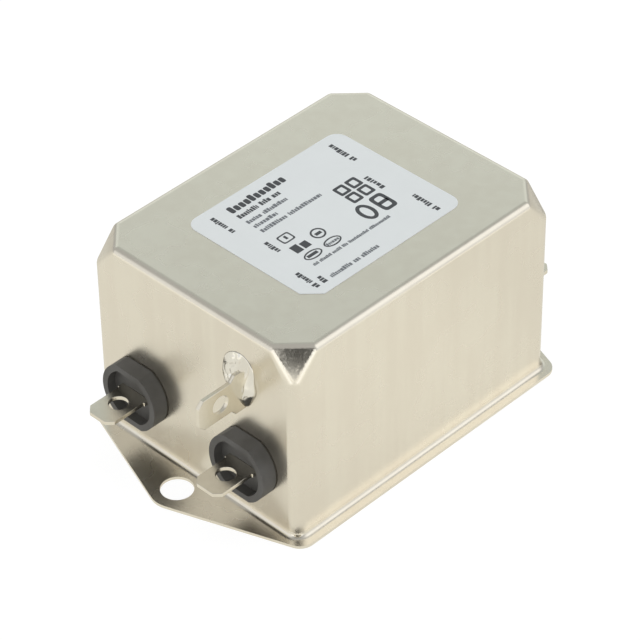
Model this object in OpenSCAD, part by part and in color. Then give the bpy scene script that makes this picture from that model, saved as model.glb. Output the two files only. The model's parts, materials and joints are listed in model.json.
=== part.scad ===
// Single-phase EMI line filter for chassis mounting.
// The case is one deep-drawn steel sheet: walls, flange and both mounting ears.
// Origin: middle of the case on its mounting face. +Z is up, -X is the line end.

/* [Case] */
// Outside length of the drawn case
case_length = 65; // [62:0.5:76]
// Outside width of the drawn case
case_width = 49.8; // [48:0.2:58]
// Height of the case above the mounting face
case_height = 41; // [40:0.5:48]
// Thickness of the drawn steel sheet
sheet = 0.6; // [0.5:0.1:0.8]
// Outside radius of the drawn edges round the top
edge_radius = 1.5; // [1.3:0.1:2]
// Outside radius of the four upright edges
upright_radius = 2.3; // [1.8:0.1:3]
// Distance that each corner facet takes off the top edges
facet_run = 4.5; // [3:0.1:5.5]
// Distance that each corner facet takes off the upright edge
facet_drop = 4.7; // [3.5:0.1:6]
// Outside radius of the bend between the walls and the flange
flare_radius = 1; // [0.6:0.1:1.2]

/* [Flange and ears] */
// Width of the flange across both long sides
flange_width = 54; // [53.6:0.1:60]
// Radius of the flange's corners, where the ears begin
flange_corner = 3; // [2:0.1:4]
// Distance of the flange corner's centre inside the end wall
ear_root_inset = 1.5; // [1:0.1:3]
// Distance between the mounting holes
hole_spacing = 75; // [75:0.5:90]
// Diameter of the mounting holes
hole_d = 6.1; // [4.5:0.1:6.5]
// Radius of each ear's nose, round its mounting hole
ear_nose = 5; // [4.4:0.1:6]

/* [Base cover] */
// Thickness of the base cover sheet
cover_sheet = 0.8; // [0.5:0.1:1]
// Distance that the base cover lies above the mounting face
cover_recess = 1.2; // [0.8:0.1:2]
// Clearance of the base cover in the mouth of the case
cover_gap = 0.15; // [0.05:0.05:0.3]
// Thickness of the insulating sheet on the base cover
liner_sheet = 0.4; // [0.2:0.1:0.6]
// Margin of the insulating sheet inside the base cover's edge
liner_margin = 0.4; // [0.2:0.1:1]

/* [Terminals] */
// Distance between the phase and neutral terminals
terminal_spacing = 27; // [24:0.5:29]
// Height of the terminals above the mounting face
terminal_height = 12.5; // [11:0.1:13]
// Width of a terminal blade
blade_width = 6.3; // [4.8:0.1:6.3]
// Thickness of a terminal blade
blade_sheet = 0.8; // [0.5:0.1:1]
// Distance from the outside of the wall to a blade's tip
blade_reach = 10.8; // [9.6:0.1:14]
// Size of the corner that is cut off at a blade's tip
blade_chamfer = 1.25; // [0.5:0.05:1.8]
// Diameter of the hole in a blade
blade_hole = 3.6; // [1.6:0.1:3.8]
// Distance from a blade's tip to the centre of its hole
blade_hole_inset = 5.1; // [3.8:0.1:5.6]
// Width of the shoulder that seats on the bushing
shoulder_width = 6.9; // [6.6:0.1:7.4]
// Length of the shoulder that seats on the bushing
shoulder_length = 1.2; // [0.6:0.1:1.6]
// Width of the blade's tail inside the case
tail_width = 4; // [3:0.1:4.6]
// Distance that the tail reaches inside the case
tail_reach = 7; // [6:0.1:7.6]
// Diameter of the solder hole in the tail
tail_hole = 1.6; // [1.2:0.1:2]

/* [Bushings] */
// Diameter of a bushing outside the wall
bushing_d = 13.3; // [12.6:0.1:13.6]
// Distance across the bushing's upper and lower flats
bushing_flats = 12; // [11.4:0.1:12.4]
// Distance that a bushing stands out of the wall
bushing_proud = 3.3; // [2.8:0.1:4]
// Depth of the step round a bushing's foot, where it seats on the wall
foot_step = 0.2; // [0.1:0.05:0.3]
// Wall thickness round the bushing's recess
bushing_rim = 1.25; // [1:0.05:1.5]
// Depth of the recess round the blade
recess_depth = 1.9; // [1:0.1:2.2]
// Diameter of the bushing's neck through the wall
neck_d = 10.4; // [9.6:0.1:10.8]
// Distance across the flats of the neck
neck_flats = 9.4; // [8.8:0.1:9.6]
// Distance that the neck reaches inside the wall
neck_reach = 2.4; // [2:0.1:3]
// Clearance between the neck and its window in the wall
window_gap = 0.1; // [0.05:0.05:0.2]
// Height of the snap lugs above the neck
lug_height = 0.7; // [0.4:0.1:1]
// Width of the snap lugs
lug_width = 5; // [3:0.1:6]
// Clearance between a blade's tail and its slot
slot_gap = 0.05; // [0.02:0.01:0.1]

/* [Earth terminal] */
// Sideways place of the earth blade
earth_y = -12.5; // [-14:0.1:-10]
// Distance from the top of the case down to the earth blade's centre line
earth_drop = 12.8; // [12.4:0.1:14]
// Width across the earth blade's shoulders
earth_shoulder = 8.5; // [7:0.1:9]
// Distance from the wall to the shoulders' outer end
earth_shoulder_reach = 2.2; // [1.8:0.1:3]
// Width of the tongue that passes through the wall
earth_tongue = 5; // [4:0.1:5.6]
// Distance that the tongue reaches inside the wall
earth_tongue_reach = 1.4; // [1:0.1:2]
// Height of the solder puddle above the wall
solder_height = 1.6; // [1.2:0.1:2]

/* [Label] */
// Length of the label along the case
label_length = 38; // [30:0.5:46]
// Width of the label across the case
label_width = 31; // [24:0.5:38]
// Radius of the label's corners
label_corner = 2.5; // [1:0.1:3]
// Size of the corner that is cut off the label
label_cut = 3; // [2:0.1:5]
// Sideways offset of the label from the middle of the top
label_offset = -0.5; // [-2:0.1:2]
// Thickness of the label
label_sheet = 0.12; // [0.1:0.01:0.2]

/* [Choke] */
// Width of the ferrite ring between its hole and its outside
core_width = 6.5; // [5:0.1:6.8]
// Thickness of the ferrite ring along its axis
core_thickness = 11; // [8:0.5:12]
// Diameter of the winding wire
wire_d = 1.4; // [1:0.1:1.4]
// Number of turns in each winding
turns = 10; // [6:1:10]
// Angle of the ring that each winding covers
winding_angle = 138; // [120:1:142]
// Distance from the top of the choke to the inside of the case
choke_headroom = 2.2; // [1.5:0.1:3]
// Distance from the bottom of the choke to the insulating sheet
choke_floor = 3.7; // [3.5:0.1:5]
// Clearance between the winding wire and the ring
winding_gap = 0.1; // [0.05:0.05:0.2]
// Thickness of the plate between the windings
separator_sheet = 1.5; // [1:0.1:2]
// Clearance of the separator in the ring's hole
separator_gap = 0.1; // [0.05:0.05:0.2]

/* [Capacitors and resistor] */
// Thickness of an X capacitor
x_cap_thickness = 9.5; // [7:0.5:10]
// Width of an X capacitor
x_cap_width = 26.5; // [24:0.5:30]
// Distance from the terminals up to the base of the X capacitors
x_cap_rise = 7.5; // [7.2:0.1:9]
// Distance between an X capacitor's pins
x_cap_pitch = 22.5; // [20:0.5:23]
// Diameter of an X capacitor's pins
x_cap_pin = 0.8; // [0.6:0.1:1]
// Length of an X capacitor's pins
x_cap_pin_length = 4; // [3:0.1:4.4]
// Clearance between an X capacitor and the choke
x_cap_gap = 0.8; // [0.5:0.1:1]
// Diameter of a Y capacitor's disc
y_cap_d = 8; // [7:0.1:8.4]
// Thickness of a Y capacitor's disc
y_cap_thickness = 3.6; // [3:0.1:4]
// Diameter of a Y capacitor's leads
y_cap_lead = 0.6; // [0.5:0.05:0.8]
// Sideways place of the Y capacitors
y_cap_y = 6; // [5.8:0.1:6.6]
// Clearance between a Y capacitor and the load X capacitor
y_cap_gap = 0.4; // [0.3:0.1:0.6]
// Distance from the base of the X capacitors down to the Y capacitors
y_cap_drop = 1; // [0.6:0.1:1.4]
// Diameter of the resistor's body
resistor_d = 2.5; // [2:0.1:3]
// Length of the resistor's body
resistor_length = 6.5; // [5:0.1:8]
// Diameter of the resistor's leads
resistor_lead = 0.6; // [0.5:0.05:0.7]

/* [Potting and wires] */
// Clearance between the resin and the pieces it holds
resin_gap = 0.1; // [0.05:0.05:0.2]
// Clearance round the wire coils in the resin
coil_gap = 0.3; // [0.2:0.05:0.4]
// Diameter of the connecting leads
lead_d = 1.4; // [1:0.1:1.6]
// Clearance between the ends of joined wires
joint_gap = 0.15; // [0.1:0.05:0.3]
// Sideways place of the earth wire on the floor
earth_wire_y = -6; // [-6.6:0.1:-5]

/* [Hidden] */

$fn = 48;
// Facets round the rounded edges of the drawn case, outside and inside
outside_facets = 32;
inside_facets = 16;
// Amount by which a cutter runs past the face that it opens
over = 1;

half_length = case_length / 2;
half_width = case_width / 2;
// Centres of the upright edges' radii
edge_x = half_length - upright_radius;
edge_y = half_width - upright_radius;
inner_top = case_height - sheet;
cover_top = cover_recess + cover_sheet;
liner_top = cover_top + liner_sheet;

terminal_y = terminal_spacing / 2;
recess_floor = bushing_proud - recess_depth;
tail_x = half_length - tail_reach;

wire_r = wire_d / 2;
lead_r = lead_d / 2;
// Radius of the winding wire's centre line round the ring's corners
bend_r = wire_r + winding_gap;
coil_r = (inner_top - choke_headroom - liner_top - choke_floor) / 2;
core_d = 2 * (coil_r - bend_r - wire_r);
core_hole = core_d - 2 * core_width;
coil_half = core_thickness / 2 + bend_r + wire_r;
choke_z = inner_top - choke_headroom - coil_r;
// The winding's ends run beside the coil, so the choke's pocket is one wire wider
lead_x = coil_half + coil_gap + wire_r;
pocket_half = lead_x + wire_r + coil_gap;

x_cap_x = pocket_half + x_cap_gap + x_cap_thickness / 2;
x_cap_top = inner_top - choke_headroom;
x_cap_base = terminal_height + x_cap_rise;
x_cap_height = x_cap_top - x_cap_base;
pin_y = x_cap_pitch / 2;
pin_end = x_cap_base - x_cap_pin_length;
// The resin's lower surface is level with the base of the X capacitors
resin_level = x_cap_base;
resistor_z = pin_end + x_cap_pin_length / 3;

y_cap_x = x_cap_x + x_cap_thickness / 2 + y_cap_gap + y_cap_thickness / 2;
y_cap_z = x_cap_base - y_cap_drop - y_cap_d / 2;
y_cap_earth_y = y_cap_y - y_cap_d / 5;
y_cap_live_z = y_cap_z + y_cap_d / 8;

earth_height = case_height - earth_drop;
earth_wire_x = -(half_length - sheet - earth_tongue_reach - joint_gap - lead_r);
// Height of the earth wire's centre line, midway between the choke and the insulating sheet
bus_z = liner_top + choke_floor * 0.7;

tail_hole_x = tail_x + tail_width / 2;
// Place where a lead passes an X capacitor's pin, and where it passes a Y capacitor's lead
pin_pass_y = pin_y + x_cap_pin / 2 + lead_r + joint_gap;
pin_pass_z = pin_end + x_cap_pin_length * 3 / 8;
y_tap_y = pin_pass_y + lead_d / 5;

winding_start = [-lead_x - 2 * wire_d, coil_r * 0.62, choke_z - coil_r * 0.63];
winding_finish = [lead_x + 2 * wire_d, coil_r * 0.62, choke_z - coil_r * 0.66];

// ---------- helpers ----------

function unit(v) = v / norm(v);

// A round bar swept along a path: rings of points, kept untwisted from ring to ring
function tangent(path, i) =
    unit(path[min(i + 1, len(path) - 1)] - path[max(i - 1, 0)]);

function square_to(v, t) = unit(v - (v * t) * t);

function first_normal(t) = square_to(abs(t[2]) < 0.8 ? [0, 0, 1] : [1, 0, 0], t);

function normals(path) = [
    for (
        i = 0, n = first_normal(tangent(path, 0));
        i < len(path);
        i = i + 1,
        n = i < len(path) ? square_to(n, tangent(path, i)) : n
    ) n
];

module wire(path, r, sides = 6) {
    n = normals(path);
    rings = len(path);
    points = [
        for (i = [0 : rings - 1], k = [0 : sides - 1])
            let (a = 360 * k / sides)
                path[i] + r * (cos(a) * n[i] + sin(a) * cross(tangent(path, i), n[i]))
    ];
    walls = [
        for (i = [0 : rings - 2], k = [0 : sides - 1])
            let (a = i * sides + k, b = i * sides + (k + 1) % sides)
                [a, a + sides, b + sides, b]
    ];
    start = [for (k = [0 : sides - 1]) k];
    finish = [for (k = [sides - 1 : -1 : 0]) (rings - 1) * sides + k];
    polyhedron(points, concat(walls, [start, finish]), convexity = 10);
}

// Circle with an upper and a lower flat, standing in the plane of an end wall
module double_d(d, flats) {
    intersection() {
        circle(d = d);
        square([d + over, flats], center = true);
    }
}

// Turns a flat profile so that it stands in an end wall and is thickened outwards
module outwards(from, to) {
    translate([from, 0, 0])
        rotate([90, 0, 90])
            linear_extrude(to - from)
                children();
}

// Puts a terminal piece at the line end (side = -1) or the load end (side = 1)
module at_end(side, y, z) {
    translate([side * half_length, y, z])
        rotate([0, 0, side < 0 ? 180 : 0])
            children();
}

module rounded_rect(length, width, r) {
    square([length - 2 * r, width], center = true);
    square([length, width - 2 * r], center = true);
    for (sx = [-1, 1], sy = [-1, 1])
        translate([sx * (length / 2 - r), sy * (width / 2 - r)])
            circle(r);
}

// ---------- case ----------

// Ball with a vertex on each pole, so that a hull of balls keeps its exact size
module ball(r, facets) {
    rotate_extrude($fn = facets)
        intersection() {
            circle(r, $fn = facets);
            translate([0, -r])
                square([r, 2 * r]);
        }
}

// Block with rounded edges and a facet across each upper corner, inset from the outside of the case
module drawn_block(inset, base, facets) {
    top = case_height - edge_radius;
    top_x = half_length - edge_radius;
    top_y = half_width - edge_radius;
    hull()
        for (sx = [-1, 1], sy = [-1, 1]) {
            translate([sx * edge_x, sy * edge_y, base])
                cylinder(r = upright_radius - inset, h = top - facet_drop - base, $fn = facets);
            translate([sx * edge_x, sy * edge_y, top - facet_drop])
                ball(upright_radius - inset, facets);
            translate([sx * (top_x - facet_run), sy * top_y, top])
                ball(edge_radius - inset, facets);
            translate([sx * top_x, sy * (top_y - facet_run), top])
                ball(edge_radius - inset, facets);
        }
}

// Section of the hollow bend between a wall and the flange, lapped into the wall
module bend_section(r, below) {
    lap = sheet / 4;
    difference() {
        translate([-lap, -below])
            square([r + lap, r + below]);
        translate([r, r])
            circle(r);
    }
}

// The bend's section carried round the four sides and corners of the case
module bend(inset, r, below = 0) {
    for (turn = [0, 180]) {
        rotate([0, 0, turn])
            translate([half_length - inset, 0, 0])
                rotate([90, 0, 0])
                    linear_extrude(2 * edge_y, center = true)
                        bend_section(r, below);
        rotate([0, 0, turn + 90])
            translate([half_width - inset, 0, 0])
                rotate([90, 0, 0])
                    linear_extrude(2 * edge_x, center = true)
                        bend_section(r, below);
    }
    for (k = [0 : 3])
        translate([(k == 0 || k == 3 ? 1 : -1) * edge_x, (k < 2 ? 1 : -1) * edge_y, 0])
            rotate([0, 0, 90 * k])
                rotate_extrude(angle = 90)
                    translate([upright_radius - inset, 0])
                        bend_section(r, below);
}

nose = [hole_spacing / 2, 0];
corner = [half_length - ear_root_inset, flange_width / 2 - flange_corner];
// Direction of the outer normal of the straight edge from an ear's nose to the flange's corner
ear_run = corner - nose;
ear_normal = atan2(ear_run[1], ear_run[0]) - acos((ear_nose - flange_corner) / norm(ear_run));
ear_edge = [
    nose + ear_nose * [cos(ear_normal), sin(ear_normal)],
    corner + flange_corner * [cos(ear_normal), sin(ear_normal)],
    [corner[0], flange_width / 2]
];

function flip(points, sx, sy) = [for (p = points) [sx * p[0], sy * p[1]]];

function reversed(points) = [for (i = [len(points) - 1 : -1 : 0]) points[i]];

// Flange with an ear at each end: straight tangents between the ears' noses and the corners
module flange_outline() {
    polygon(concat(
        ear_edge,
        reversed(flip(ear_edge, -1, 1)),
        flip(ear_edge, -1, -1),
        reversed(flip(ear_edge, 1, -1))
    ));
    for (sx = [-1, 1]) {
        translate([sx * nose[0], 0])
            circle(ear_nose);
        for (sy = [-1, 1])
            translate([sx * corner[0], sy * corner[1]])
                circle(flange_corner);
    }
}

module terminal_windows() {
    for (side = [-1, 1], y = [-terminal_y, terminal_y])
        at_end(side, y, terminal_height)
            outwards(-sheet - over, over)
                double_d(neck_d + 2 * window_gap, neck_flats + 2 * window_gap);
}

module earth_slot() {
    at_end(-1, earth_y, earth_height)
        translate([-sheet - over, -blade_sheet / 2 - slot_gap, -earth_tongue / 2 - slot_gap])
            cube([sheet + 2 * over, blade_sheet + 2 * slot_gap, earth_tongue + 2 * slot_gap]);
}

module case() {
    color([0.85, 0.82, 0.74])
        difference() {
            union() {
                drawn_block(0, 0, outside_facets);
                linear_extrude(sheet)
                    flange_outline();
                translate([0, 0, sheet])
                    bend(0, flare_radius);
            }
            drawn_block(sheet, -over, inside_facets);
            bend(sheet, flare_radius + sheet, over);
            for (sx = [-1, 1])
                translate([sx * hole_spacing / 2, 0, -over])
                    cylinder(d = hole_d, h = sheet + 2 * over);
            terminal_windows();
            earth_slot();
        }
}

module base_cover() {
    color([0.8, 0.79, 0.74])
        translate([0, 0, cover_recess])
            linear_extrude(cover_sheet)
                rounded_rect(
                    case_length - 2 * (sheet + cover_gap),
                    case_width - 2 * (sheet + cover_gap),
                    upright_radius - sheet - cover_gap
                );
}

module insulating_sheet() {
    inset = sheet + cover_gap + liner_margin;
    color([0.86, 0.8, 0.66])
        translate([0, 0, cover_top])
            linear_extrude(liner_sheet)
                rounded_rect(
                    case_length - 2 * inset,
                    case_width - 2 * inset,
                    upright_radius - inset
                );
}

module label() {
    color([0.88, 0.9, 0.91])
        translate([0, label_offset, case_height])
            linear_extrude(label_sheet)
                difference() {
                    rounded_rect(label_length, label_width, label_corner);
                    translate([-label_length / 2, -label_width / 2])
                        rotate(45)
                            square(sqrt(2) * label_cut, center = true);
                }
}

// ---------- terminals ----------

// Moulded insulator, its wall seat at x = 0 and its mouth towards +X
module bushing() {
    inner_d = bushing_d - 2 * bushing_rim;
    inner_flats = bushing_flats - 2 * bushing_rim;
    lug_root = -sheet - neck_reach;
    difference() {
        union() {
            outwards(foot_step, bushing_proud)
                double_d(bushing_d, bushing_flats);
            outwards(0, foot_step)
                double_d(bushing_d - 2 * foot_step, bushing_flats - 2 * foot_step);
            outwards(lug_root, 0)
                double_d(neck_d, neck_flats);
            for (turn = [0, 180])
                rotate([turn, 0, 0])
                    translate([0, lug_width / 2, 0])
                        rotate([90, 0, 0])
                            linear_extrude(lug_width)
                                polygon([
                                    [-sheet, neck_flats / 2 - slot_gap],
                                    [-sheet, neck_flats / 2 + window_gap + lug_height],
                                    [lug_root, neck_flats / 2],
                                    [lug_root, neck_flats / 2 - slot_gap]
                                ]);
        }
        outwards(recess_floor, bushing_proud + over)
            double_d(inner_d, inner_flats);
        translate([lug_root - over, -tail_width / 2 - slot_gap, -blade_sheet / 2 - slot_gap])
            cube([
                recess_floor - lug_root + 2 * over,
                tail_width + 2 * slot_gap,
                blade_sheet + 2 * slot_gap
            ]);
    }
}

// Upper half of a blade's outline, from its tip back to a given place and half width
function blade_half(root) = [
    [blade_reach, 0],
    [blade_reach, blade_width / 2 - blade_chamfer],
    [blade_reach - blade_chamfer, blade_width / 2],
    [root, blade_width / 2]
];

module half_outline(points) {
    polygon(concat(points, reversed(flip(points, 1, -1))));
}

// Flat blade with a shoulder on the recess floor and a tail that passes through the bushing
module tab() {
    shoulder_end = recess_floor + shoulder_length;
    translate([0, 0, -blade_sheet / 2])
        linear_extrude(blade_sheet)
            difference() {
                half_outline(concat(blade_half(shoulder_end), [
                    [shoulder_end, shoulder_width / 2],
                    [recess_floor, shoulder_width / 2],
                    [recess_floor, tail_width / 2],
                    [-tail_reach, tail_width / 2]
                ]));
                translate([blade_reach - blade_hole_inset, 0])
                    circle(d = blade_hole);
                translate([-tail_reach + tail_width / 2, 0])
                    circle(d = tail_hole);
            }
}

// Upright blade with wide shoulders on the wall and a tongue through the wall's slot
module earth_blade() {
    translate([0, blade_sheet / 2, 0])
        rotate([90, 0, 0])
            linear_extrude(blade_sheet)
                difference() {
                    half_outline(concat(blade_half(earth_shoulder_reach + 1), [
                        [earth_shoulder_reach, earth_shoulder / 2],
                        [0, earth_shoulder / 2],
                        [0, earth_tongue / 2],
                        [-sheet - earth_tongue_reach, earth_tongue / 2]
                    ]));
                    translate([blade_reach - blade_hole_inset, 0])
                        circle(d = blade_hole);
                }
}

module earth_tab() {
    color([0.78, 0.75, 0.64])
        at_end(-1, earth_y, earth_height)
            earth_blade();
}

// Low dome of solder of a given radius
module solder_drop(r) {
    rotate([0, 90, 0])
        rotate_extrude($fn = 28)
            polygon(concat([[0, 0]], [
                for (a = [0 : 18 : 90]) [r * cos(a), solder_height * sin(a)]
            ]));
}

// Three drops run together into one uneven puddle, cut through by the blade
module earth_solder() {
    spread = earth_shoulder;
    color([0.82, 0.83, 0.82])
        at_end(-1, earth_y, earth_height)
            difference() {
                hull() {
                    translate([0, -spread * 0.06, spread * 0.44])
                        solder_drop(spread * 0.4);
                    translate([0, -spread * 0.07, spread * 0.14])
                        solder_drop(spread * 0.48);
                    translate([0, spread * 0.01, -spread * 0.17])
                        solder_drop(spread * 0.35);
                }
                translate([-over, -blade_sheet / 2, -earth_shoulder / 2])
                    cube([earth_shoulder_reach + over, blade_sheet, earth_shoulder]);
            }
}

module live_bushing(side, y) {
    color([0.2, 0.2, 0.2])
        at_end(side, y, terminal_height)
            bushing();
}

module live_tab(side, y) {
    color([0.78, 0.76, 0.68])
        at_end(side, y, terminal_height)
            tab();
}

// ---------- choke ----------

module choke_core() {
    color([0.22, 0.23, 0.25])
        translate([-core_thickness / 2, 0, choke_z])
            rotate([0, 90, 0])
                difference() {
                    cylinder(d = core_d, h = core_thickness);
                    translate([0, 0, -over])
                        cylinder(d = core_hole, h = core_thickness + 2 * over);
                }
}

module choke_separator() {
    height = core_hole - 2 * separator_gap;
    color([0.9, 0.88, 0.8])
        translate([0, 0, choke_z])
            intersection() {
                cube([2 * coil_half, separator_sheet, height], center = true);
                rotate([0, 90, 0])
                    cylinder(d = height, h = 2 * coil_half + over, center = true);
            }
}

// Centre of wire point k of the 12 in a turn: [distance from the ring's axis, place along it]
turn_corners = [[-1, -1], [-1, 1], [1, 1], [1, -1]];

function turn_point(k) =
    let (c = turn_corners[floor(k / 3)], a = 270 - 90 * floor(k / 3) - 45 * (k % 3))
        [
            (core_d + core_hole) / 4 + c[0] * (core_d - core_hole) / 4 + bend_r * cos(a),
            c[1] * core_thickness / 2 + bend_r * sin(a)
        ];

function on_ring(p, phi) = [p[1], p[0] * cos(phi), choke_z + p[0] * sin(phi)];

// The winding runs from the line side's face to the load side's face, up the +Y half of the ring
last_step = 12 * turns - 6;
winding_path = concat(
    [
        winding_start,
        [-lead_x, coil_r * 0.53, choke_z - coil_r * 0.79]
    ],
    [
        for (i = [-1 : last_step])
            on_ring(
                turn_point((i + 12) % 12),
                winding_angle * (i - last_step / 2 + 0.5) / (12 * turns)
            )
    ],
    [
        [coil_half + wire_r / 2, coil_r * 0.43, choke_z + coil_r * 0.85],
        [lead_x, coil_r * 0.53, choke_z + coil_r * 0.78],
        [lead_x, coil_r * 0.53, choke_z - coil_r * 0.5],
        [lead_x + wire_d / 2, coil_r * 0.56, choke_z - coil_r * 0.62],
        winding_finish
    ]
);

module phase_winding() {
    color([0.72, 0.4, 0.2])
        wire(winding_path, wire_r);
}

module neutral_winding() {
    color([0.72, 0.4, 0.2])
        mirror([0, 1, 0])
            wire(winding_path, wire_r);
}

// ---------- capacitors and resistor ----------

module x_capacitor(side) {
    color([0.83, 0.72, 0.2]) {
        translate([side * x_cap_x - x_cap_thickness / 2, -x_cap_width / 2, x_cap_base])
            cube([x_cap_thickness, x_cap_width, x_cap_height]);
        for (y = [-pin_y, pin_y])
            translate([side * x_cap_x, y, pin_end])
                cylinder(d = x_cap_pin, h = x_cap_pin_length + over);
    }
}

// Ceramic disc on its edge, with one lead down to earth and one across to the load lead
module y_capacitor() {
    color([0.2, 0.45, 0.75]) {
        translate([y_cap_x - y_cap_thickness / 2, y_cap_y, y_cap_z])
            rotate([0, 90, 0])
                cylinder(d = y_cap_d, h = y_cap_thickness);
        translate([y_cap_x, y_cap_earth_y, bus_z + lead_r + joint_gap])
            cylinder(d = y_cap_lead, h = y_cap_z - y_cap_d / 4 - bus_z - lead_r - joint_gap);
        translate([y_cap_x, y_cap_y, y_cap_live_z])
            rotate([-90, 0, 0])
                cylinder(d = y_cap_lead, h = y_tap_y - lead_r - joint_gap - y_cap_y);
    }
}

module phase_y_capacitor() {
    y_capacitor();
}

module neutral_y_capacitor() {
    mirror([0, 1, 0])
        y_capacitor();
}

module bleed_resistor() {
    lead_length = x_cap_pitch - x_cap_pin - 2 * joint_gap;
    color([0.75, 0.62, 0.45])
        translate([-x_cap_x, 0, resistor_z])
            rotate([90, 0, 0]) {
                cylinder(d = resistor_d, h = resistor_length, center = true);
                cylinder(d = resistor_lead, h = lead_length, center = true);
            }
}

// ---------- leads ----------

// Direction from one end of a lead to the next wire's end, so that the ends face each other
line_join = unit(winding_path[0] - winding_path[1]);
load_join = unit(winding_finish - winding_path[len(winding_path) - 2]);

// Ends of a lead that goes up through the hole in a tab's tail and bends over
function tail_end(side) = [
    [side * tail_hole_x, terminal_y, terminal_height - lead_d],
    [side * tail_hole_x, terminal_y, terminal_height + lead_d * 1.2],
    [side * (tail_hole_x - lead_r), terminal_y - joint_gap, terminal_height + lead_d * 2]
];

// Stretch of a lead beside the pin of an X capacitor
function pin_pass(side) = [
    [side * (x_cap_x + lead_r), pin_pass_y, pin_pass_z],
    [side * (x_cap_x - lead_r), pin_pass_y - joint_gap / 2, pin_pass_z - joint_gap]
];

// From the tab's tail, past the X capacitor's pin, to the start of the winding
line_lead_path = concat(
    tail_end(-1),
    [[-(2 * tail_hole_x + x_cap_x) / 3, pin_pass_y, pin_pass_z]],
    pin_pass(-1),
    [
        winding_start + line_join * lead_d * 2,
        winding_start + line_join * joint_gap
    ]
);

// From the end of the winding, past the X and Y capacitors' leads, to the tab's tail
load_lead_path = concat(
    [
        winding_finish + load_join * joint_gap,
        winding_finish + load_join * lead_d
    ],
    reversed(pin_pass(1)),
    [[y_cap_x, y_tap_y, y_cap_live_z]],
    reversed(tail_end(1))
);

module phase_line_lead() {
    color([0.45, 0.28, 0.16])
        wire(line_lead_path, lead_r, 8);
}

module neutral_line_lead() {
    color([0.2, 0.35, 0.7])
        mirror([0, 1, 0])
            wire(line_lead_path, lead_r, 8);
}

module phase_load_lead() {
    color([0.45, 0.28, 0.16])
        wire(load_lead_path, lead_r, 8);
}

module neutral_load_lead() {
    color([0.2, 0.35, 0.7])
        mirror([0, 1, 0])
            wire(load_lead_path, lead_r, 8);
}

// From the earth blade's tongue, down between the bushings and along the floor to the Y capacitors
earth_wire_path = [
    [earth_wire_x, earth_y, earth_height + lead_d],
    [earth_wire_x, earth_y, resin_level + lead_d],
    [earth_wire_x + lead_d * 0.3, earth_y + lead_d * 0.6, resin_level - lead_d * 0.15],
    [earth_wire_x + lead_d * 0.7, (earth_y + earth_wire_y) / 2, resin_level - lead_d * 0.8],
    [earth_wire_x + lead_d, earth_wire_y, resin_level - lead_d * 2.3],
    [earth_wire_x + lead_d * 1.3, earth_wire_y, bus_z + lead_d * 2],
    [earth_wire_x + lead_d * 1.9, earth_wire_y, bus_z + lead_d * 0.6],
    [earth_wire_x + lead_d * 3.3, earth_wire_y, bus_z],
    [y_cap_x - lead_d * 1.4, earth_wire_y, bus_z],
    [y_cap_x - lead_r / 2, -y_cap_earth_y - lead_r, bus_z],
    [y_cap_x, -y_cap_earth_y + lead_r, bus_z],
    [y_cap_x, y_cap_earth_y + lead_r, bus_z]
];

module earth_wire() {
    color([0.35, 0.6, 0.25])
        wire(earth_wire_path, lead_r, 8);
}

// ---------- potting ----------

// Resin poured with the case upside down, so it fills the top and stops at a level surface
module potting_compound() {
    color([0.25, 0.24, 0.23])
        difference() {
            drawn_block(sheet + resin_gap, -over, inside_facets);
            translate([-half_length, -half_width, -2 * over])
                cube([case_length, case_width, resin_level + 2 * over]);
            translate([-pocket_half, 0, choke_z])
                rotate([0, 90, 0])
                    cylinder(r = coil_r + coil_gap, h = 2 * pocket_half);
            for (side = [-1, 1])
                translate([side * x_cap_x, 0, x_cap_base - over])
                    translate([-x_cap_thickness / 2 - resin_gap, -x_cap_width / 2 - resin_gap, 0])
                        cube([
                            x_cap_thickness + 2 * resin_gap,
                            x_cap_width + 2 * resin_gap,
                            x_cap_height + resin_gap + over
                        ]);
            translate([-half_length, earth_y - lead_r - coil_gap, resin_level - over])
                cube([
                    half_length + earth_wire_x + 2 * lead_r + coil_gap,
                    2 * (lead_r + coil_gap) + lead_d,
                    earth_height + earth_tongue / 2 + resin_gap - resin_level + over
                ]);
        }
}

case();
base_cover();
insulating_sheet();
label();
live_bushing(-1, terminal_y);  // phase_line_bushing
live_bushing(-1, -terminal_y);  // neutral_line_bushing
live_bushing(1, terminal_y);  // phase_load_bushing
live_bushing(1, -terminal_y);  // neutral_load_bushing
live_tab(-1, terminal_y);  // phase_line_tab
live_tab(-1, -terminal_y);  // neutral_line_tab
live_tab(1, terminal_y);  // phase_load_tab
live_tab(1, -terminal_y);  // neutral_load_tab
earth_tab();
earth_solder();
choke_core();
choke_separator();
phase_winding();
neutral_winding();
x_capacitor(-1);  // line_x_capacitor
x_capacitor(1);  // load_x_capacitor
phase_y_capacitor();
neutral_y_capacitor();
bleed_resistor();
phase_line_lead();
neutral_line_lead();
phase_load_lead();
neutral_load_lead();
earth_wire();
potting_compound();
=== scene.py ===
"""EMI line filter: surfaces, label print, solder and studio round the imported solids.

Lengths are in metres, and in millimetres where a comment says so.
"""

import json

import bmesh
import bpy
import numpy as np
from mathutils import Matrix, Vector


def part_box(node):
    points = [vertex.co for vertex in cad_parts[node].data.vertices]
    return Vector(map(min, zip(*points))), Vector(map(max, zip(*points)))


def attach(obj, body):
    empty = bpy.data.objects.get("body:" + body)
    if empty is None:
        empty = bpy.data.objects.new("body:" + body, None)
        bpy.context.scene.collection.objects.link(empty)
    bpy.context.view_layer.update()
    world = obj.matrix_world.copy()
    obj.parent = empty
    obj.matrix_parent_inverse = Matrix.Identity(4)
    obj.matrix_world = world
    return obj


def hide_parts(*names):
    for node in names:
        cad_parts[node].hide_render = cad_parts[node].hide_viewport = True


MM = 0.001

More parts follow.
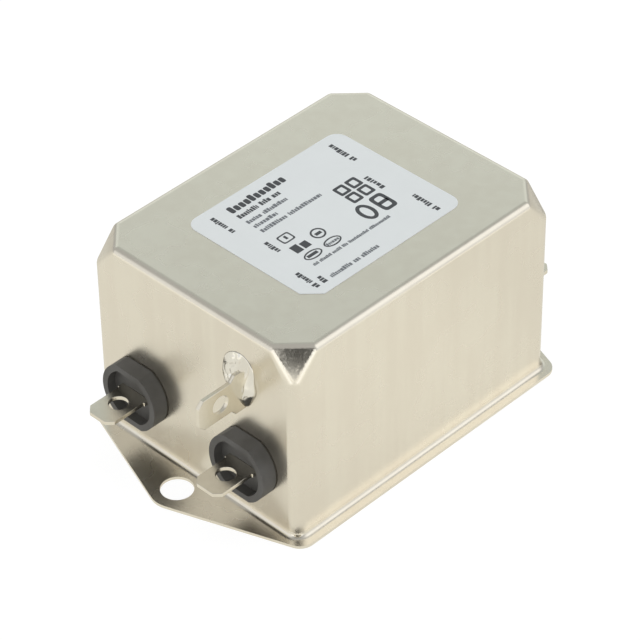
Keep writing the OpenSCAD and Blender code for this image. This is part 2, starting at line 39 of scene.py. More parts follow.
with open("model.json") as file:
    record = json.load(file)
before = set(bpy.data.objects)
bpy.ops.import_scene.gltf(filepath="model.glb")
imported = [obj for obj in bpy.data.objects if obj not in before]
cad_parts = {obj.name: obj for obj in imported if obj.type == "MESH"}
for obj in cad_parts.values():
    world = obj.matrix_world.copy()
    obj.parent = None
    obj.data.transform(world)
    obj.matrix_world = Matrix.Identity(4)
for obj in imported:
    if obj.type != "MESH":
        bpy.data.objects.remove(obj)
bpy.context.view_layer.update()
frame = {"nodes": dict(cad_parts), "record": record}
NODES = frame["nodes"]


# ---------- node helpers ----------

def colour(r, g, b):
    """Linear colour from the 0-255 values of a swatch."""
    c = np.array([r, g, b]) / 255.0
    return tuple(np.where(c < 0.04045, c / 12.92, ((c + 0.055) / 1.055) ** 2.4)) + (1.0,)


def new_group(name, inputs, outputs):
    """Empty shader group with named sockets; inputs are (name, kind, default) and outputs (name, kind)."""
    group = bpy.data.node_groups.new(name, "ShaderNodeTree")
    for label, kind, default in inputs:
        socket = group.interface.new_socket(label, in_out="INPUT", socket_type="NodeSocket" + kind)
        if default is not None:
            socket.default_value = default
    for label, kind in outputs:
        group.interface.new_socket(label, in_out="OUTPUT", socket_type="NodeSocket" + kind)
    return group, group.nodes.new("NodeGroupInput").outputs, group.nodes.new("NodeGroupOutput").inputs


class Tree:
    """Short calls that add one node each to a node tree and return what it puts out."""

    def __init__(self, tree):
        self.tree = tree

    def put(self, value, socket):
        if isinstance(value, bpy.types.NodeSocket):
            self.tree.links.new(value, socket)
        else:
            socket.default_value = value

    def math(self, kind, a, b=0.0, c=0.0):
        node = self.tree.nodes.new("ShaderNodeMath")
        node.operation = kind
        for value, socket in zip((a, b, c), node.inputs):
            self.put(value, socket)
        return node.outputs[0]

    def smooth(self, value, low, high, to_low=0.0, to_high=1.0):
        node = self.tree.nodes.new("ShaderNodeMapRange")
        node.interpolation_type = "SMOOTHSTEP"
        for name, v in (("Value", value), ("From Min", low), ("From Max", high),
                        ("To Min", to_low), ("To Max", to_high)):
            self.put(v, node.inputs[name])
        return node.outputs["Result"]

    def place(self):
        return self.tree.nodes.new("ShaderNodeTexCoord").outputs["Object"]

    def scaled(self, vector, scale):
        node = self.tree.nodes.new("ShaderNodeMapping")
        self.put(vector, node.inputs["Vector"])
        self.put(scale, node.inputs["Scale"])
        return node.outputs[0]

    def noise(self, vector, scale, detail, rough=0.5):
        node = self.tree.nodes.new("ShaderNodeTexNoise")
        self.put(vector, node.inputs["Vector"])
        self.put(scale, node.inputs["Scale"])
        self.put(detail, node.inputs["Detail"])
        self.put(rough, node.inputs["Roughness"])
        return node.outputs["Fac"]

    def mix(self, fac, a, b):
        node = self.tree.nodes.new("ShaderNodeMix")
        node.data_type = "RGBA"
        sockets = [socket for socket in node.inputs if socket.enabled]
        for value, socket in zip((fac, a, b), sockets):
            self.put(value, socket)
        return [socket for socket in node.outputs if socket.enabled][0]

    def split(self, vector):
        node = self.tree.nodes.new("ShaderNodeSeparateXYZ")
        self.put(vector, node.inputs[0])
        return tuple(node.outputs)

    def merge(self, x, y, z):
        node = self.tree.nodes.new("ShaderNodeCombineXYZ")
        for value, socket in zip((x, y, z), node.inputs):
            self.put(value, socket)
        return node.outputs[0]

    def vectors(self, kind, *vectors):
        node = self.tree.nodes.new("ShaderNodeVectorMath")
        node.operation = kind
        for vector, socket in zip(vectors, node.inputs):
            self.put(vector, socket)
        return node.outputs

    def along(self, vector, direction):
        return self.vectors("DOT_PRODUCT", vector, direction)["Value"]

    def bump(self, height, distance, strength):
        node = self.tree.nodes.new("ShaderNodeBump")
        self.put(height, node.inputs["Height"])
        self.put(distance, node.inputs["Distance"])
        self.put(strength, node.inputs["Strength"])
        return node.outputs[0]

    def group(self, group, **values):
        node = self.tree.nodes.new("ShaderNodeGroup")
        node.node_tree = group
        for name, value in values.items():
            self.put(value, node.inputs[name])
        return node.outputs


# ---------- surfaces ----------

# Plated sheet: fine grain, long faint drawing marks up the walls and soft changes of tone.
# The scales say how many features there are in a metre.
GRAIN_SCALE, CLOUD_SCALE, SWELL_SCALE = 2600.0, 90.0, 55.0
DRAWN_SCALE = (420, 420, 30)
TONE_RANGE = (0.36, 0.64)
GLOSS_SPREAD = 0.1
metal_skin, given, result = new_group(
    "metal_skin",
    [("Vector", "Vector", None), ("Grain", "Float", 1.0), ("Waves", "Float", 0.0),
     ("Light", "Color", None), ("Dark", "Color", None), ("Roughness", "Float", 0.3)],
    [("Color", "Color"), ("Roughness", "Float"), ("Height", "Float")],
)
tree = Tree(metal_skin)
fine = tree.noise(given["Vector"], GRAIN_SCALE, 3.0, 0.6)
clouds = tree.noise(given["Vector"], CLOUD_SCALE, 3.0, 0.55)
drawn = tree.noise(tree.scaled(given["Vector"], DRAWN_SCALE), 1.0, 3.0, 0.55)
tone = tree.smooth(tree.math("MULTIPLY_ADD", drawn, 0.5, tree.math("MULTIPLY", clouds, 0.5)), *TONE_RANGE)
tree.put(tree.mix(tone, given["Dark"], given["Light"]), result["Color"])
gloss = tree.math("MULTIPLY_ADD", tree.math("SUBTRACT", clouds, 0.5), GLOSS_SPREAD, given["Roughness"])
tree.put(gloss, result["Roughness"])
swell = tree.noise(given["Vector"], SWELL_SCALE, 1.0, 0.4)
height = tree.math("MULTIPLY", tree.math("SUBTRACT", fine, 0.5), given["Grain"])
tree.put(tree.math("MULTIPLY_ADD", swell, given["Waves"], height), result["Height"])

# Faint mould texture and gloss changes, for plastic, board, resin and coatings
MOULD_CLOUD_SCALE = 140.0
MOULD_TONE_RANGE = (0.3, 0.7)
dull_skin, given, result = new_group(
    "dull_skin",
    [("Vector", "Vector", None), ("Scale", "Float", 1200.0), ("Light", "Color", None),
     ("Dark", "Color", None), ("Roughness", "Float", 0.5), ("Spread", "Float", 0.1)],
    [("Color", "Color"), ("Roughness", "Float"), ("Height", "Float")],
)
tree = Tree(dull_skin)
grain = tree.noise(given["Vector"], given["Scale"], 3.0, 0.6)
clouds = tree.noise(given["Vector"], MOULD_CLOUD_SCALE, 3.0, 0.6)
tree.put(tree.mix(tree.smooth(clouds, *MOULD_TONE_RANGE), given["Dark"], given["Light"]), result["Color"])
gloss = tree.math("MULTIPLY_ADD", tree.math("SUBTRACT", clouds, 0.5), given["Spread"], given["Roughness"])
tree.put(gloss, result["Roughness"])
tree.put(grain, result["Height"])

# Slight bow of the drawn corner facets. A facet is where the normal leans to both sides and up at once.
# There it is turned up or down with the height, aside with the distance from the facet's middle line, and
# a little at random.
FACET_ASIDE = (0.4, 0.52)
FACET_UP = (0.35, 0.48)
BOW_LEVEL = 0.0405      # height at which a facet's normal keeps its own slope
BOW_MIDDLE = 0.0058     # |x| - |y| on the line where it leans to neither side
BOW_UP, BOW_ASIDE = 46.0, 15.0
MOTTLE_SCALE = (2600, 2600, 1500)
MOTTLE_SHARE = 0.22
corner_bow, given, result = new_group(
    "corner_bow",
    [("Vector", "Vector", None), ("Normal", "Vector", None), ("Mottle", "Float", MOTTLE_SHARE)],
    [("Normal", "Vector")],
)
tree = Tree(corner_bow)
x, y, z = tree.split(given["Vector"])
nx, ny, nz = tree.split(given["Normal"])
facet = tree.smooth(tree.math("MINIMUM", tree.math("ABSOLUTE", nx), tree.math("ABSOLUTE", ny)), *FACET_ASIDE)
facet = tree.math("MULTIPLY", facet, tree.smooth(nz, *FACET_UP))
spots = tree.noise(tree.scaled(given["Vector"], MOTTLE_SCALE), 1.0, 3.0)
mottle = tree.math("MULTIPLY", tree.math("SUBTRACT", spots, 0.5), given["Mottle"])
lean = tree.math("MULTIPLY_ADD", tree.math("SUBTRACT", z, BOW_LEVEL), BOW_UP, mottle)
aside = tree.math("SUBTRACT", tree.math("ABSOLUTE", x), tree.math("ABSOLUTE", y))
aside = tree.math("MULTIPLY_ADD", tree.math("SUBTRACT", aside, BOW_MIDDLE), BOW_ASIDE, mottle)
aside = tree.math("MULTIPLY", aside, facet)
tilt = tree.merge(
    tree.math("MULTIPLY", aside, tree.math("SIGN", x)),
    tree.math("MULTIPLY", aside, tree.math("MULTIPLY", tree.math("SIGN", y), -1.0)),
    tree.math("MULTIPLY", lean, facet),
)
leaning = tree.vectors("ADD", given["Normal"], tilt)["Vector"]
tree.put(tree.vectors("NORMALIZE", leaning)["Vector"], result["Normal"])


METAL_RELIEF, DULL_RELIEF = 0.004 * MM, 0.01 * MM


def surface(name, light, dark, group, metallic, relief, strength=0.3, **values):
    """Principled material that takes colour, roughness and relief from one of the shared groups."""
    material = bpy.data.materials.new(name)
    material.use_nodes = True
    tree = Tree(material.node_tree)
    shader = material.node_tree.nodes["Principled BSDF"]
    out = tree.group(group, Vector=tree.place(), Light=light, Dark=dark, **values)
    tree.put(out["Color"], shader.inputs["Base Color"])
    tree.put(out["Roughness"], shader.inputs["Roughness"])
    tree.put(tree.bump(out["Height"], relief, strength), shader.inputs["Normal"])
    shader.inputs["Metallic"].default_value = metallic
    material.diffuse_color = light
    return material


def metal(name, light, dark, rough, grain=1.0, waves=0.0):
    """Bare or plated metal: grain is the share of fine relief, waves the share of wide swells."""
    return surface(name, light, dark, metal_skin, 1.0, METAL_RELIEF,
                   Roughness=rough, Grain=grain, Waves=waves)


def dull(name, light, dark, rough, spread=0.1, scale=1200.0, relief=DULL_RELIEF, strength=0.3):
    """Plastic, board, resin, ink or coating: spread is how far its roughness wanders, scale its grain."""
    return surface(name, light, dark, dull_skin, 0.0, relief, strength,
                   Roughness=rough, Spread=spread, Scale=scale)


MATERIALS = {
    "case_steel": metal("case_steel", colour(232, 227, 214), colour(228, 222, 209), 0.27, 0.04, 0.35),
    "cover_steel": metal("cover_steel", colour(226, 221, 208), colour(216, 211, 198), 0.34),
    "tinned_brass": metal("tinned_brass", colour(231, 226, 212), colour(225, 219, 205), 0.25, 0.4),
    "solder": metal("solder", colour(236, 234, 227), colour(226, 223, 215), 0.16, 0.3),
    "label_stock": dull("label_stock", colour(224, 228, 229), colour(222, 226, 227), 0.42, 0.04, 2500),
    "label_ink": dull("label_ink", colour(66, 68, 72), colour(60, 62, 66), 0.45, 0.04, 2500),
    "pale_ink": dull("pale_ink", colour(112, 116, 121), colour(106, 110, 115), 0.45, 0.04, 2500),
    "moulded_nylon": dull("moulded_nylon", colour(95, 94, 92), colour(79, 78, 75), 0.5, 0.2, 1100,
                          2 * DULL_RELIEF, 0.5),
    "ferrite": dull("ferrite", colour(62, 63, 66), colour(50, 51, 54), 0.7),
    "separator_board": dull("separator_board", colour(222, 216, 196), colour(208, 200, 178), 0.7),
    "insulating_board": dull("insulating_board", colour(214, 200, 166), colour(200, 186, 150), 0.8),
    "enamelled_copper": metal("enamelled_copper", colour(196, 110, 62), colour(176, 92, 50), 0.25),
    "capacitor_box": dull("capacitor_box", colour(214, 190, 70), colour(204, 180, 62), 0.4),
    "disc_coating": dull("disc_coating", colour(66, 112, 176), colour(56, 100, 162), 0.3),
    "resistor_coating": dull("resistor_coating", colour(206, 180, 140), colour(194, 168, 128), 0.35),
    "brown_insulation": dull("brown_insulation", colour(112, 74, 48), colour(100, 64, 40), 0.45),
    "blue_insulation": dull("blue_insulation", colour(66, 92, 172), colour(58, 82, 160), 0.45),
    "green_insulation": dull("green_insulation", colour(74, 142, 74), colour(64, 130, 66), 0.45),
    "potting_resin": dull("potting_resin", colour(50, 49, 48), colour(42, 41, 40), 0.3),
}

# The drawn case takes its normals from the corner bow before the fine relief
case_tree = MATERIALS["case_steel"].node_tree
tree = Tree(case_tree)
relief = next(node for node in case_tree.nodes if node.type == "BUMP")
facing_out = case_tree.nodes.new("ShaderNodeNewGeometry").outputs["Normal"]
bowed = tree.group(corner_bow, Vector=tree.place(), Normal=facing_out, Mottle=MOTTLE_SHARE)
tree.put(bowed["Normal"], relief.inputs["Normal"])

# Each CAD piece wears the material that its slot names
SLOT_OF = {row["node"]: row["material_slot"] for row in frame["record"]["subparts"]}
for node, piece in NODES.items():
    piece.data.materials.clear()
    piece.data.materials.append(MATERIALS[SLOT_OF[node]])


# ---------- pieces ----------

def link_piece(name, mesh, material, slot, *nodes):
    """Object for a mesh: it rides on the body and stands for the CAD nodes given; the slot argument is not
    used.
    """
    piece = bpy.data.objects.new(name, mesh)
    bpy.context.scene.collection.objects.link(piece)
    mesh.materials.clear()
    mesh.materials.append(MATERIALS[material])
    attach(piece, "root")
    if nodes:
        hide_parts(*nodes)
    return piece


def add_piece(name, verts, faces, material, slot, *nodes, smooth=False):
    """Object from a vertex array and a face list."""
    mesh = bpy.data.meshes.new(name)
    mesh.from_pydata(np.asarray(verts, float).tolist(), [], faces)
    mesh.update()
    mesh.polygons.foreach_set("use_smooth", np.full(len(mesh.polygons), smooth))
    return link_piece(name, mesh, material, slot, *nodes)


def joined(parts):
    """One vertex array and one face list from several, with the face indices carried on."""
    starts = np.cumsum([0] + [len(verts) for verts, _ in parts[:-1]])
    faces = [(np.asarray(face) + start).tolist()
             for (_, part_faces), start in zip(parts, starts) for face in part_faces]
    return np.concatenate([verts for verts, _ in parts]), faces


MERGE_WITHIN = 0.002 * MM
FLAT_WITHIN = np.radians(0.5)
SHARP_EDGE = np.radians(32.0)
FACE_WEIGHT = 90


def finished(node, bevel=0.0, segments=3):
    """Copy of a CAD node with its triangles joined into one skin, small rounded edges and smooth shading."""
    name = node + "_skin"
    mesh = bpy.data.meshes.new(name)
    work = bmesh.new()
    work.from_mesh(NODES[node].data)
    bmesh.ops.remove_doubles(work, verts=work.verts, dist=MERGE_WITHIN)
    bmesh.ops.dissolve_limit(work, angle_limit=FLAT_WITHIN, verts=work.verts, edges=work.edges)
    work.to_mesh(mesh)
    work.free()
    mesh.polygons.foreach_set("use_smooth", np.ones(len(mesh.polygons), bool))
    mesh.set_sharp_from_angle(angle=SHARP_EDGE)
    piece = link_piece(name, mesh, SLOT_OF[node], SLOT_OF[node], node)
    if bevel:
        edge = piece.modifiers.new("edges", "BEVEL")
        edge.width = bevel
        edge.segments = segments
        edge.limit_method = "ANGLE"
        edge.angle_limit = SHARP_EDGE
    shade = piece.modifiers.new("normals", "WEIGHTED_NORMAL")
    shade.keep_sharp = not bevel
    shade.weight = FACE_WEIGHT


BUSHING_EDGE = 0.18 * MM
BLADE_EDGE = 0.08 * MM

finished("case")
for end in ("line", "load"):
    for pole in ("phase", "neutral"):
        finished(f"{pole}_{end}_bushing", BUSHING_EDGE)
        finished(f"{pole}_{end}_tab", BLADE_EDGE, 2)
finished("earth_tab", BLADE_EDGE, 2)


# ---------- solder round the earth blade's root ----------

SOLDER_CENTRE = (-12.3 * MM, 29.8 * MM)
# Distance from the centre to the rim of the puddle every 30 degrees, from the -Y side up over the top
SOLDER_RIM = np.array([3.4, 3.65, 5.0, 5.85, 5.6, 5.0, 4.7, 4.8, 4.8, 5.6, 4.45, 3.7]) * MM
# Fillet, in millimetres: least height, extra height at its thickest level, that level and its spread
FILLET_LOW, FILLET_RISE, FILLET_LEVEL, FILLET_SPREAD = 0.3, 1.5, -1.3, 3.7
FILLET_FLATNESS, FILLET_STEEPNESS = 4.5, 0.75
LAP_LOW, LAP_FOLDS, LAP_FLATNESS = 0.4, 0.32, 5
BLEND_WIDTH = 1.2
SOLDER_RINGS, SOLDER_STEPS = 30, 96


def solder_puddle(rings, steps):
    """Puddle on the end wall: a smooth fillet on one side of the blade, a low crumpled lap on the other.

    Its rim is a closed smooth curve through the named distances, as the sum of their waves round the circle.
    Its height falls from the middle to zero at the rim, as one less a power of the share of the way out. On
    the fillet's side it is highest at one level and falls as a bell curve above and below it. On the lap's
    side two crossing sets of folded waves lie on a low base. A smooth step joins the two sides.
    """
    angle = np.arange(steps) * 2 * np.pi / steps
    spectrum = np.fft.rfft(SOLDER_RIM) / len(SOLDER_RIM)
    order = np.arange(len(spectrum))
    weight = np.where((order == 0) | (order == len(SOLDER_RIM) // 2), 1.0, 2.0)
    rim = (weight * spectrum * np.exp(1j * np.outer(angle, order))).real.sum(1)
    share = np.arange(1, rings + 1)[:, None] / rings
    across = share * rim * np.cos(angle)
    upward = share * rim * np.sin(angle)
    x, y = across / MM, upward / MM
    fillet = FILLET_LOW + FILLET_RISE * np.exp(-((y - FILLET_LEVEL) / FILLET_SPREAD) ** 2)
    fillet *= (1 - share ** FILLET_FLATNESS) ** FILLET_STEEPNESS
    folds = np.abs(np.sin(x * 1.9 + 1.4 * np.sin(y * 1.1)))
    folds += 0.7 * np.abs(np.sin(y * 1.5 - x * 0.8 + 0.6))
    lap = (LAP_LOW + LAP_FOLDS * folds) * (1 - share ** LAP_FLATNESS)
    side = np.clip(x / BLEND_WIDTH + 0.5, 0, 1)
    side = side * side * (3 - 2 * side)
    rise = (side * fillet + (1 - side) * lap) * MM
    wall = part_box("earth_solder")[1][0]
    grid = np.stack([wall - rise, SOLDER_CENTRE[0] - across, SOLDER_CENTRE[1] + upward], -1)
    points = grid.reshape(-1, 3)
    middle = [[wall - rise[0].mean(), *SOLDER_CENTRE], [wall, *SOLDER_CENTRE]]
    verts = np.concatenate([points, middle])
    i, j = np.arange(steps), (np.arange(steps) + 1) % steps
    row = (np.arange(rings - 1) * steps)[:, None]
    quads = np.stack([row + i, row + j, row + steps + j, row + steps + i], -1).reshape(-1, 4)
    top = np.column_stack([np.full(steps, len(points)), j, i])
    last = (rings - 1) * steps
    base = np.column_stack([np.full(steps, len(points) + 1), last + i, last + j])
    return verts, quads[:, ::-1].tolist() + top[:, ::-1].tolist() + base[:, ::-1].tolist()


add_piece("earth_solder_skin", *solder_puddle(SOLDER_RINGS, SOLDER_STEPS),
          "solder", "solder", "earth_solder", smooth=True)


# ---------- label and its print ----------

(label_x0, label_y0, label_z0), (label_x1, label_y1, label_z1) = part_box("label")
PRINT_THICK = 0.02 * MM
LABEL_TOP = label_z1 - PRINT_THICK
LABEL_CORNER = 2.5 * MM
LABEL_CUT = 3.0 * MM


def prism(outline, low, high):
    """Closed slab of constant height: the outline at the low level, the same outline at the high one."""
    n = len(outline)
    verts = np.concatenate([np.column_stack([outline, np.full(n, z)]) for z in (low, high)])
    i, j = np.arange(n), (np.arange(n) + 1) % n
    sides = np.column_stack([i, j, j + n, i + n]).tolist()
    return verts, sides + [list(range(n))[::-1], list(range(n, 2 * n))]


def ring(outer, inner, low, high):
    """Closed flat ring: four loops joined round, as outer low, outer high, inner high and inner low."""
    n = len(outer)
    loops = ((outer, low), (outer, high), (inner, high), (inner, low))
    verts = np.concatenate([np.column_stack([loop, np.full(n, z)]) for loop, z in loops])
    i, j = np.arange(n), (np.arange(n) + 1) % n
    return verts, np.concatenate([
        np.column_stack([a * n + i, a * n + j, b * n + j, b * n + i])
        for a, b in ((0, 1), (1, 2), (2, 3), (3, 0))
    ]).tolist()


def boxes(rects, low, high):
    """Closed slabs over many rectangles at once; each row of rects is x0, y0, x1, y1.

    Each slab has its four low corners first and its four high ones after them, and six square faces.
    """
    rects = np.asarray(rects, float)
    x = rects[:, [0, 2, 2, 0, 0, 2, 2, 0]]
    y = rects[:, [1, 1, 3, 3, 1, 1, 3, 3]]
    z = np.broadcast_to(np.repeat([low, high], 4), x.shape)
    shape = np.array([[3, 2, 1, 0], [4, 5, 6, 7], [0, 1, 5, 4], [1, 2, 6, 5], [2, 3, 7, 6], [3, 0, 4, 7]])
    faces = (np.arange(len(rects))[:, None, None] * 8 + shape).reshape(-1, 4)
    return np.stack([x, y, z], -1).reshape(-1, 3), faces.tolist()


def oval(x, y, half_x, half_y, power=2.0, n=48):
    """Closed curve where |x/a| to a power plus |y/b| to that power is one: 2 is an ellipse, more is squarer.

    The sizes are in millimetres.
    """
    angle = np.arange(n) * 2 * np.pi / n
    cos, sin = np.cos(angle), np.sin(angle)
    return np.column_stack([
        x + half_x * np.sign(cos) * np.abs(cos) ** (2 / power),
        y + half_y * np.sign(sin) * np.abs(sin) ** (2 / power),
    ]) * MM


def label_outline():
    """Rectangle with three quarter-circle corners and one corner cut off straight."""
    angle = np.radians(np.linspace(0, 90, 13))
    r = LABEL_CORNER
    arcs = [
        np.column_stack([x + r * np.cos(angle + turn), y + r * np.sin(angle + turn)])
        for x, y, turn in ((label_x1 - r, label_y1 - r, 0.0), (label_x0 + r, label_y1 - r, np.pi / 2),
                           (label_x1 - r, label_y0 + r, -np.pi / 2))
    ]
    cut = [[label_x0, label_y0 + LABEL_CUT], [label_x0 + LABEL_CUT, label_y0]]
    return np.concatenate([arcs[0], arcs[1], cut, arcs[2]])


add_piece("label_skin", *prism(label_outline(), label_z0, LABEL_TOP), "label_stock", "label_stock", "label")


WORD_GAP = 0.8
LETTER_GAP = 0.2
LETTER_WIDTHS = (0.55, 1.15)
LOW_LETTERS, LOW_HEIGHT = 0.6, 0.78


def word_blocks(words, start, base, tall, length, seed, upright=False):
    """Row of small blocks that stand for words, given as counts of letters. The sizes are in millimetres.

    The blocks follow each other, each as wide as a random number says, with a gap between two words, and
    the row is scaled to the given length. A share of them is lower than the rest. Upright turns the row so
    that it reads along Y.
    """
    rng = np.random.default_rng(seed)
    count = sum(words) + len(words) - 1
    is_gap = np.zeros(count, bool)
    is_gap[np.cumsum(np.array(words[:-1], int) + 1) - 1] = True
    wide = np.where(is_gap, WORD_GAP, rng.uniform(*LETTER_WIDTHS, count))
    ends = np.cumsum(wide)
    scale = length / ends[-1]
    x0 = start + (ends - wide) * scale
    x1 = start + (ends - LETTER_GAP) * scale
    top = base + tall * np.where(rng.random(count) < LOW_LETTERS, LOW_HEIGHT, 1.0)
    rects = np.column_stack([x0, np.full(count, base), x1, top])[~is_gap]
    if upright:
        rects = np.column_stack([-rects[:, 3], rects[:, 0], -rects[:, 1], rects[:, 2]])
    return rects * MM


PRINT = (LABEL_TOP, label_z1)

# Words, start, base, height, length and seed of each row of dark blocks, and of the rows that are paler
dark_rows = [
    word_blocks([9, 4, 3], -11.3, 9.0, 1.15, 10.2, 5),
    word_blocks([6], -2.3, 12.7, 1.0, 3.6, 11, True),
    word_blocks([2, 7], 7.2, 14.3, 1.05, 5.7, 12, True),
    word_blocks([2, 7], -14.0, 15.0, 1.05, 5.4, 13, True),
    word_blocks([3], -14.0, 13.1, 1.0, 2.1, 14, True),
    word_blocks([6], -2.9, -12.9, 1.0, 4.6, 15, True),
    word_blocks([2, 7], 6.3, -15.4, 1.1, 6.6, 16, True),
    word_blocks([2, 7], -14.3, -14.9, 1.1, 6.3, 17, True),
]
pale_rows = [
    word_blocks([6, 11], -11.3, 6.9, 0.95, 9.8, 21),
    word_blocks([9], -11.3, 5.2, 0.95, 5.7, 22),
    word_blocks([11, 14], -11.3, 3.4, 0.95, 14.8, 23),
    word_blocks([4, 8, 7, 4, 16, 16], -11.8, -9.6, 0.7, 19.0, 24),
    word_blocks([11, 3, 8], -12.0, -14.0, 0.95, 11.8, 25),
    word_blocks([6], -6.3, -7.4, 0.7, 3.0, 26),
]
# Plain bars in and between the frames: x0, y0, x1, y1
BARS = np.array([
    [-9.9, -0.9, -9.4, 0.1], [-11.4, -5.1, -9.8, -2.9], [-9.4, -5.1, -7.9, -3.3],
    [-5.6, -4.0, -4.2, -3.3], [-11.0, -7.4, -8.6, -6.7], [8.4, -6.0, 10.6, -5.2],
]) * MM

# Title: a row of rounded blocks, every fourth one a little taller
TITLE_COUNT = 11
TITLE_START, TITLE_END = -11.2, 2.4
TITLE_BASE, TITLE_TOP, TITLE_TALL = 10.98, 12.5, 12.95
TITLE_GAP = 0.22
title_edges = np.linspace(TITLE_START, TITLE_END, TITLE_COUNT + 1)
title_tops = np.where(np.arange(TITLE_COUNT) % 4 == 0, TITLE_TALL, TITLE_TOP)
title = np.column_stack([
    title_edges[:-1], np.full(TITLE_COUNT, TITLE_BASE), title_edges[1:] - TITLE_GAP, title_tops,
])
title_blocks = [
    prism(oval((x0 + x1) / 2, (y0 + y1) / 2, (x1 - x0) / 2, (y1 - y0) / 2, power=4, n=24), *PRINT)
    for x0, y0, x1, y1 in title
]


def frame_of(x, y, half_x, half_y, width, power):
    """Flat ring on the label, between an oval and one whose half sizes are smaller by the width."""
    return ring(oval(x, y, half_x, half_y, power), oval(x, y, half_x - width, half_y - width, power), *PRINT)


dark_marks = title_blocks + [
    boxes(np.concatenate(dark_rows + [BARS]), *PRINT),
    frame_of(-9.7, -0.5, 1.4, 1.2, 0.3, 6),
    frame_of(-4.9, -3.6, 1.45, 1.45, 0.35, 2),
    frame_of(-9.7, -7.1, 2.0, 1.1, 0.3, 2),
    frame_of(-4.8, -7.0, 1.95, 1.1, 0.3, 2),
] + [
    frame_of(x, y, 1.25, 1.35, 0.6, 8) for y in (1.9, -1.1) for x in (6.8, 9.8)
] + [
    frame_of(5.3, -5.6, 1.6, 2.4, 0.75, 2),
    frame_of(9.4, -5.6, 1.6, 2.4, 0.75, 5),
]
add_piece("label_print_dark", *joined(dark_marks), "label_ink", "label_stock")
add_piece("label_print_pale", *boxes(np.concatenate(pale_rows), *PRINT), "pale_ink", "label_stock")


# ---------- camera and floor ----------

# The camera's angles round and above the filter and its roll, its distance, and how far it stands aside
# of and above a line of that direction through the middle of the filter's base
AZIMUTH, ELEVATION, ROLL = np.radians((-45.28, 39.46, -0.83))
DISTANCE, ASIDE, ABOVE = 0.58224, -0.00095, 0.01284
SENSOR, FOCAL = 36.0, 179.04
NEAREST = 0.01

back = np.array([np.sin(AZIMUTH) * np.cos(ELEVATION), -np.cos(AZIMUTH) * np.cos(ELEVATION),
                 np.sin(ELEVATION)])
right = np.array([np.cos(AZIMUTH), np.sin(AZIMUTH), 0.0])
up = np.cross(back, right)
right, up = np.cos(ROLL) * right + np.sin(ROLL) * up, np.cos(ROLL) * up - np.sin(ROLL) * right
spot = back * DISTANCE + right * ASIDE + up * ABOVE
camera = bpy.data.objects.new("camera", bpy.data.cameras.new("camera"))
camera.data.sensor_width = SENSOR
camera.data.lens = FOCAL
camera.data.clip_start = NEAREST
camera.matrix_world = Matrix(np.vstack([np.column_stack([right, up, back, spot]), [0, 0, 0, 1]]).tolist())
bpy.context.scene.collection.objects.link(camera)
bpy.context.scene.camera = camera

FLOOR_REACH = 3.0
FLOOR_TONE = 0.16
FLOOR_ROUGHNESS = 0.9
CAMERA_GLOW, MIRROR_GLOW, BOUNCE_GLOW = 0.9, 0.76, 0.4
MIRROR_TINT = (1.0, 0.97, 0.873, 1)
# How the mirrored floor's glow changes outwards: directions, start and end of the change, last share
GLOW_CHANGES = (
    (((0.707, 0.707, 0.0),), 0.0, 0.11, 0.68),
    (((-1, 0, 0), (0, -1, 0)), 0.18, 0.3, 1.5),
    (((0.5, -0.86, 0),), 0.0, 0.05, 1.07),
    (((1, 0, 0),), 0.02, 0.05, 0.925),
)
floor_mesh = bpy.data.meshes.new("floor")
floor_mesh.from_pydata([(-FLOOR_REACH, -FLOOR_REACH, 0), (FLOOR_REACH, -FLOOR_REACH, 0),
                        (FLOOR_REACH, FLOOR_REACH, 0), (-FLOOR_REACH, FLOOR_REACH, 0)], [], [(0, 1, 2, 3)])
floor = bpy.data.objects.new("floor", floor_mesh)
bpy.context.scene.collection.objects.link(floor)
floor_material = bpy.data.materials.new("floor_paper")
floor_material.use_nodes = True
tree = Tree(floor_material.node_tree)
shader = floor_material.node_tree.nodes["Principled BSDF"]
shader.inputs["Base Color"].default_value = (FLOOR_TONE, FLOOR_TONE, FLOOR_TONE, 1)
shader.inputs["Roughness"].default_value = FLOOR_ROUGHNESS
shader.inputs["Specular IOR Level"].default_value = 0.0
rays = floor_material.node_tree.nodes.new("ShaderNodeLightPath").outputs
mirrored = MIRROR_GLOW
for directions, start, end, last in GLOW_CHANGES:
    reach = tree.along(tree.place(), directions[0])
    for direction in directions[1:]:
        reach = tree.math("MAXIMUM", reach, tree.along(tree.place(), direction))
    mirrored = tree.math("MULTIPLY", mirrored, tree.smooth(reach, start, end, 1.0, last))
glow = tree.math("MULTIPLY", rays["Is Diffuse Ray"], BOUNCE_GLOW)
glow = tree.math("MULTIPLY_ADD", rays["Is Glossy Ray"], mirrored, glow)
glow = tree.math("MULTIPLY_ADD", rays["Is Camera Ray"], CAMERA_GLOW, glow)
tree.put(glow, shader.inputs["Emission Strength"])
tree.put(tree.mix(rays["Is Glossy Ray"], (1, 1, 1, 1), MIRROR_TINT), shader.inputs["Emission Color"])
floor_mesh.materials.append(floor_material)


# ---------- small dark card, seen only as a reflection in the near corner facet ----------

CARD_HALF = 0.026
CARD_REACH = 0.07
FACET_MIDDLE = np.array([-0.029, -0.0215, 0.039])
card_way = np.array([-0.628, -0.632, 0.452])
card_side = np.array([0.709, -0.705, 0.0])
card_up = np.cross(card_side, card_way)
card_middle = FACET_MIDDLE + CARD_REACH * card_way
corners = [card_middle + CARD_HALF * (a * card_side + b * card_up)
           for a, b in ((-1, -1), (1, -1), (1, 1), (-1, 1))]
card_mesh = bpy.data.meshes.new("dark_card")
card_mesh.from_pydata([tuple(corner) for corner in corners], [], [(0, 1, 2, 3)])
card_mesh.materials.append(dull("card_black", colour(22, 22, 21), colour(16, 16, 15), 0.9))
card = bpy.data.objects.new("dark_card", card_mesh)
bpy.context.scene.collection.objects.link(card)
card.visible_camera = card.visible_diffuse = card.visible_shadow = False


# ---------- studio: an even level with softer and brighter patches, and one lamp from above ----------

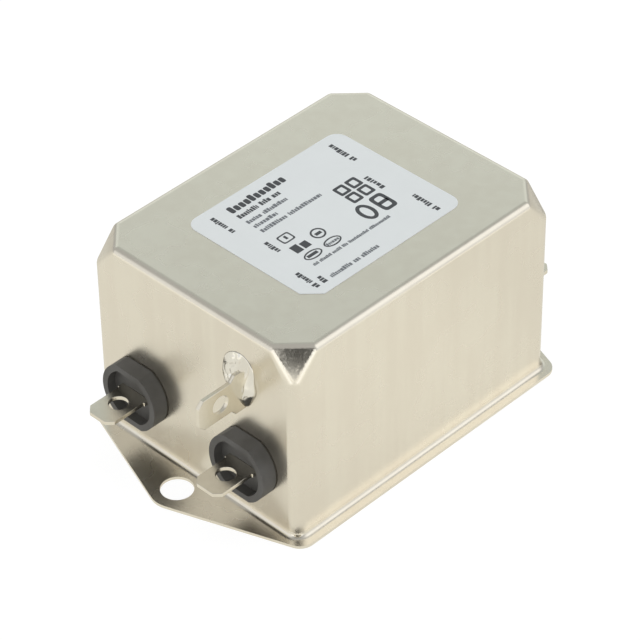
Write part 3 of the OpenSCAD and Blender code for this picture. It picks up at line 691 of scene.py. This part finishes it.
EVEN_LEVEL = 0.5
REAR_WAY, REAR_FULL, REAR_NONE = (0.6, 0.6, 0.5), 25, 45
REAR_TINT = (0.98, 1.035, 1.005, 1)
# The rear patch is brighter low down: its level changes where the direction looked in climbs from 0.5 to 0.75
REAR_FROM, REAR_TO, REAR_LEVEL_LOW, REAR_LEVEL_HIGH = 0.5, 0.75, 0.9, 0.44
# Direction, half angles where a bright patch is full and where it ends, and its level
PATCHES = (
    ((-0.85, 0.25, 0.3), 22, 46, 0.98),
    ((0.5, -0.85, 0.1), 15, 40, 0.92),
    ((0.549, -0.56, 0.62), 8, 40, 1.25),
    ((-0.93, -0.33, 0.15), 10, 24, 1.6),
    ((-0.33, -0.93, 0.15), 10, 24, 1.6),
)
TWICE_MIRRORED = 0.2    # extra share of light where a reflection is itself reflected

world = bpy.data.worlds.new("studio")
bpy.context.scene.world = world
world.use_nodes = True
tree = Tree(world.node_tree)
sky = world.node_tree.nodes["Background"]
facing = world.node_tree.nodes.new("ShaderNodeTexCoord").outputs["Generated"]


def lobe(direction, full, none):
    """Soft patch of the studio: one within an angle of a direction, falling to zero at a wider angle."""
    turn = tree.along(facing, tuple(Vector(direction).normalized()))
    return tree.smooth(turn, np.cos(np.radians(none)), np.cos(np.radians(full)))


rear = lobe(REAR_WAY, REAR_FULL, REAR_NONE)
climb = tree.along(facing, (0, 0, 1))
rear_level = tree.smooth(climb, REAR_FROM, REAR_TO, REAR_LEVEL_LOW, REAR_LEVEL_HIGH)
level = tree.math("MAXIMUM", EVEN_LEVEL, tree.math("MULTIPLY", rear, rear_level))
for direction, full, none, strength in PATCHES:
    level = tree.math("MAXIMUM", level, tree.math("MULTIPLY", lobe(direction, full, none), strength))
rays = world.node_tree.nodes.new("ShaderNodeLightPath").outputs
twice = tree.math("GREATER_THAN", rays["Glossy Depth"], 1.5)
level = tree.math("MULTIPLY", level, tree.math("MULTIPLY_ADD", twice, TWICE_MIRRORED, 1.0))
tree.put(tree.math("MAXIMUM", level, rays["Is Camera Ray"]), sky.inputs["Strength"])
tree.put(tree.mix(rear, (1.0, 1.0, 1.0, 1), REAR_TINT), sky.inputs["Color"])

LAMP_PLACE = Vector((0.1, 0.1, 0.7))
LAMP_AIM = Vector((0, 0, 0.02))
LAMP_SIZE, LAMP_POWER = 0.7, 1.55
softbox = bpy.data.lights.new("top_softbox", "AREA")
softbox.size = LAMP_SIZE
softbox.energy = LAMP_POWER
lamp = bpy.data.objects.new("top_softbox", softbox)
lamp.location = LAMP_PLACE
lamp.rotation_euler = (LAMP_AIM - LAMP_PLACE).to_track_quat("-Z", "Y").to_euler()
lamp.visible_glossy = False
bpy.context.scene.collection.objects.link(lamp)

settings = bpy.context.scene.view_settings
settings.view_transform = "Standard"
